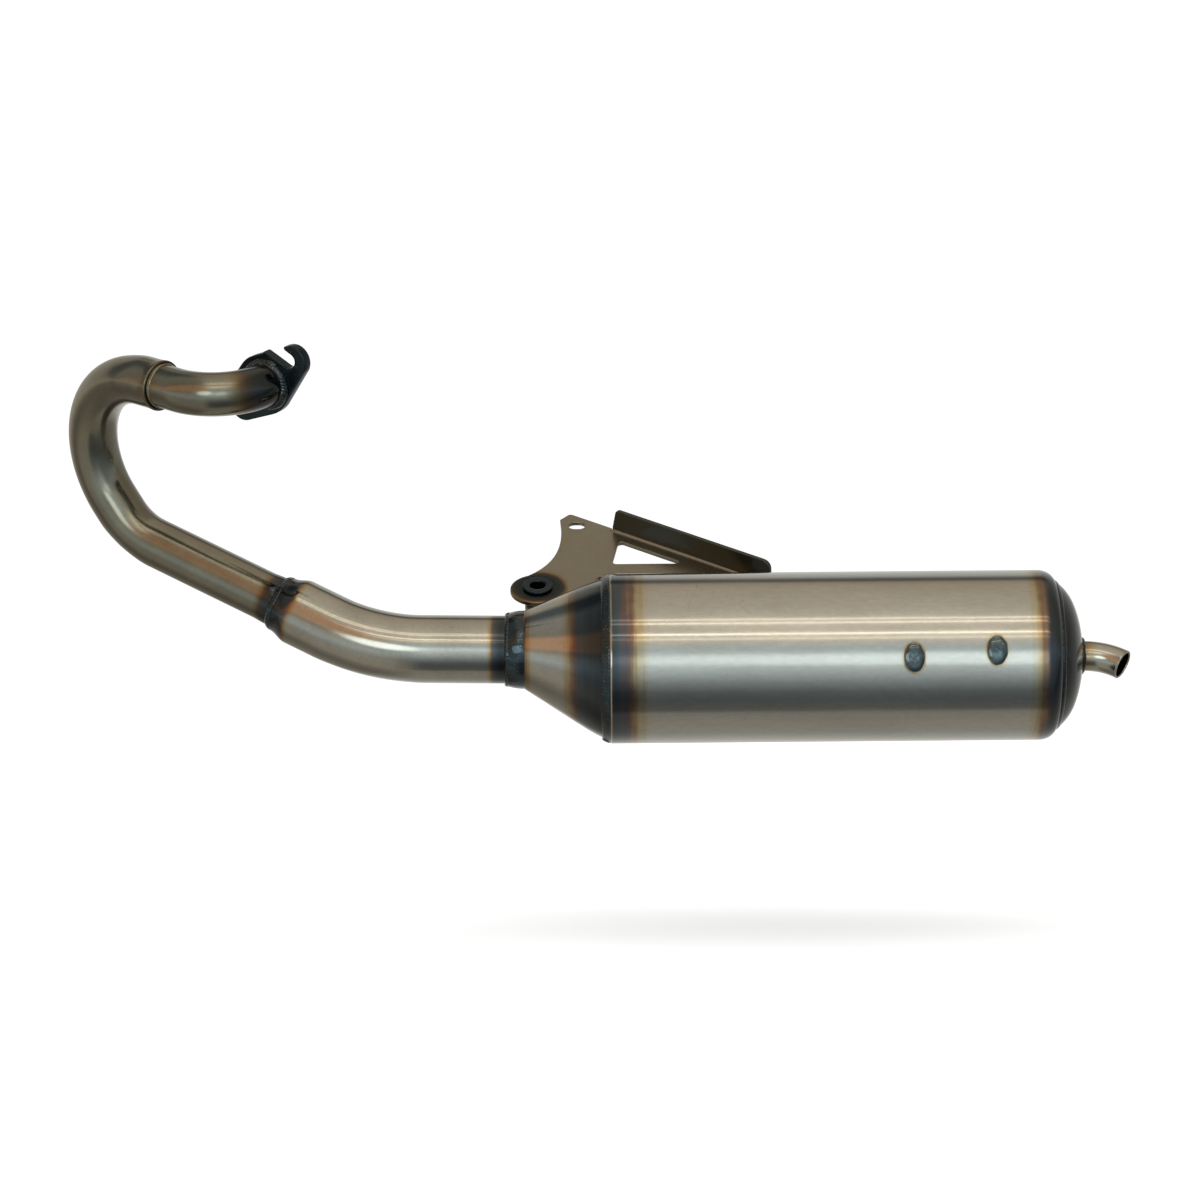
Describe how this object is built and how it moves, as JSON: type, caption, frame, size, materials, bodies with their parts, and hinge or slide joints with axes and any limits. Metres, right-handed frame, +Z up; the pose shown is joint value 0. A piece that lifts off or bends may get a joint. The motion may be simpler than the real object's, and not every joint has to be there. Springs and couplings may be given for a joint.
{
  "type": "racing exhaust system",
  "caption": "Two-stroke scooter exhaust: slotted flange, bent header, cylindrical silencer with cone and domed cap, angled tail pipe and sheet steel hanger.",
  "frame": {"origin": "centre of the cylinder flange's gasket face, on the exhaust port's axis", "axes": "+X along the silencer towards its tail pipe, +Z up, +Y towards the engine side, away from the silencer's outer face"},
  "size_m": [0.6272, 0.1574, 0.2341],
  "materials": {
    "pipe_steel": "clear lacquered, drawn tube",
    "shell_steel": "clear lacquered, rolled sheet",
    "scaled_steel": "black-blue mill scale, satin",
    "bracket_steel": "pickled sheet under clear lacquer, satin",
    "weld_metal": "heat-blued weld bead, glossy",
    "inner_steel": "bare sheet"
  },
  "bodies": {
    "root": {"front_pipe": "pipe_steel", "middle_pipe": "pipe_steel", "rear_pipe": "pipe_steel", "tail_pipe": "pipe_steel", "inlet_cone": "shell_steel", "silencer_shell": "shell_steel", "end_cap": "shell_steel", "cylinder_flange": "scaled_steel", "bracket_bush": "scaled_steel", "bracket_plate": "bracket_steel", "flange_weld": "weld_metal", "slip_joint_weld": "weld_metal", "middle_weld": "weld_metal", "inlet_weld": "weld_metal", "cone_weld": "weld_metal", "cap_weld": "weld_metal", "tail_weld": "weld_metal", "bracket_weld_1": "weld_metal", "bracket_weld_2": "weld_metal", "front_plug_weld_1": "weld_metal", "rear_plug_weld_1": "weld_metal", "front_plug_weld_2": "weld_metal", "rear_plug_weld_2": "weld_metal", "front_plug_weld_3": "weld_metal", "rear_plug_weld_3": "weld_metal", "reflector_cone": "inner_steel", "stinger_tube": "inner_steel", "front_partition": "inner_steel", "rear_partition": "inner_steel", "transfer_tube_upper": "inner_steel", "transfer_tube_lower": "inner_steel"}
  },
  "joints": []
}
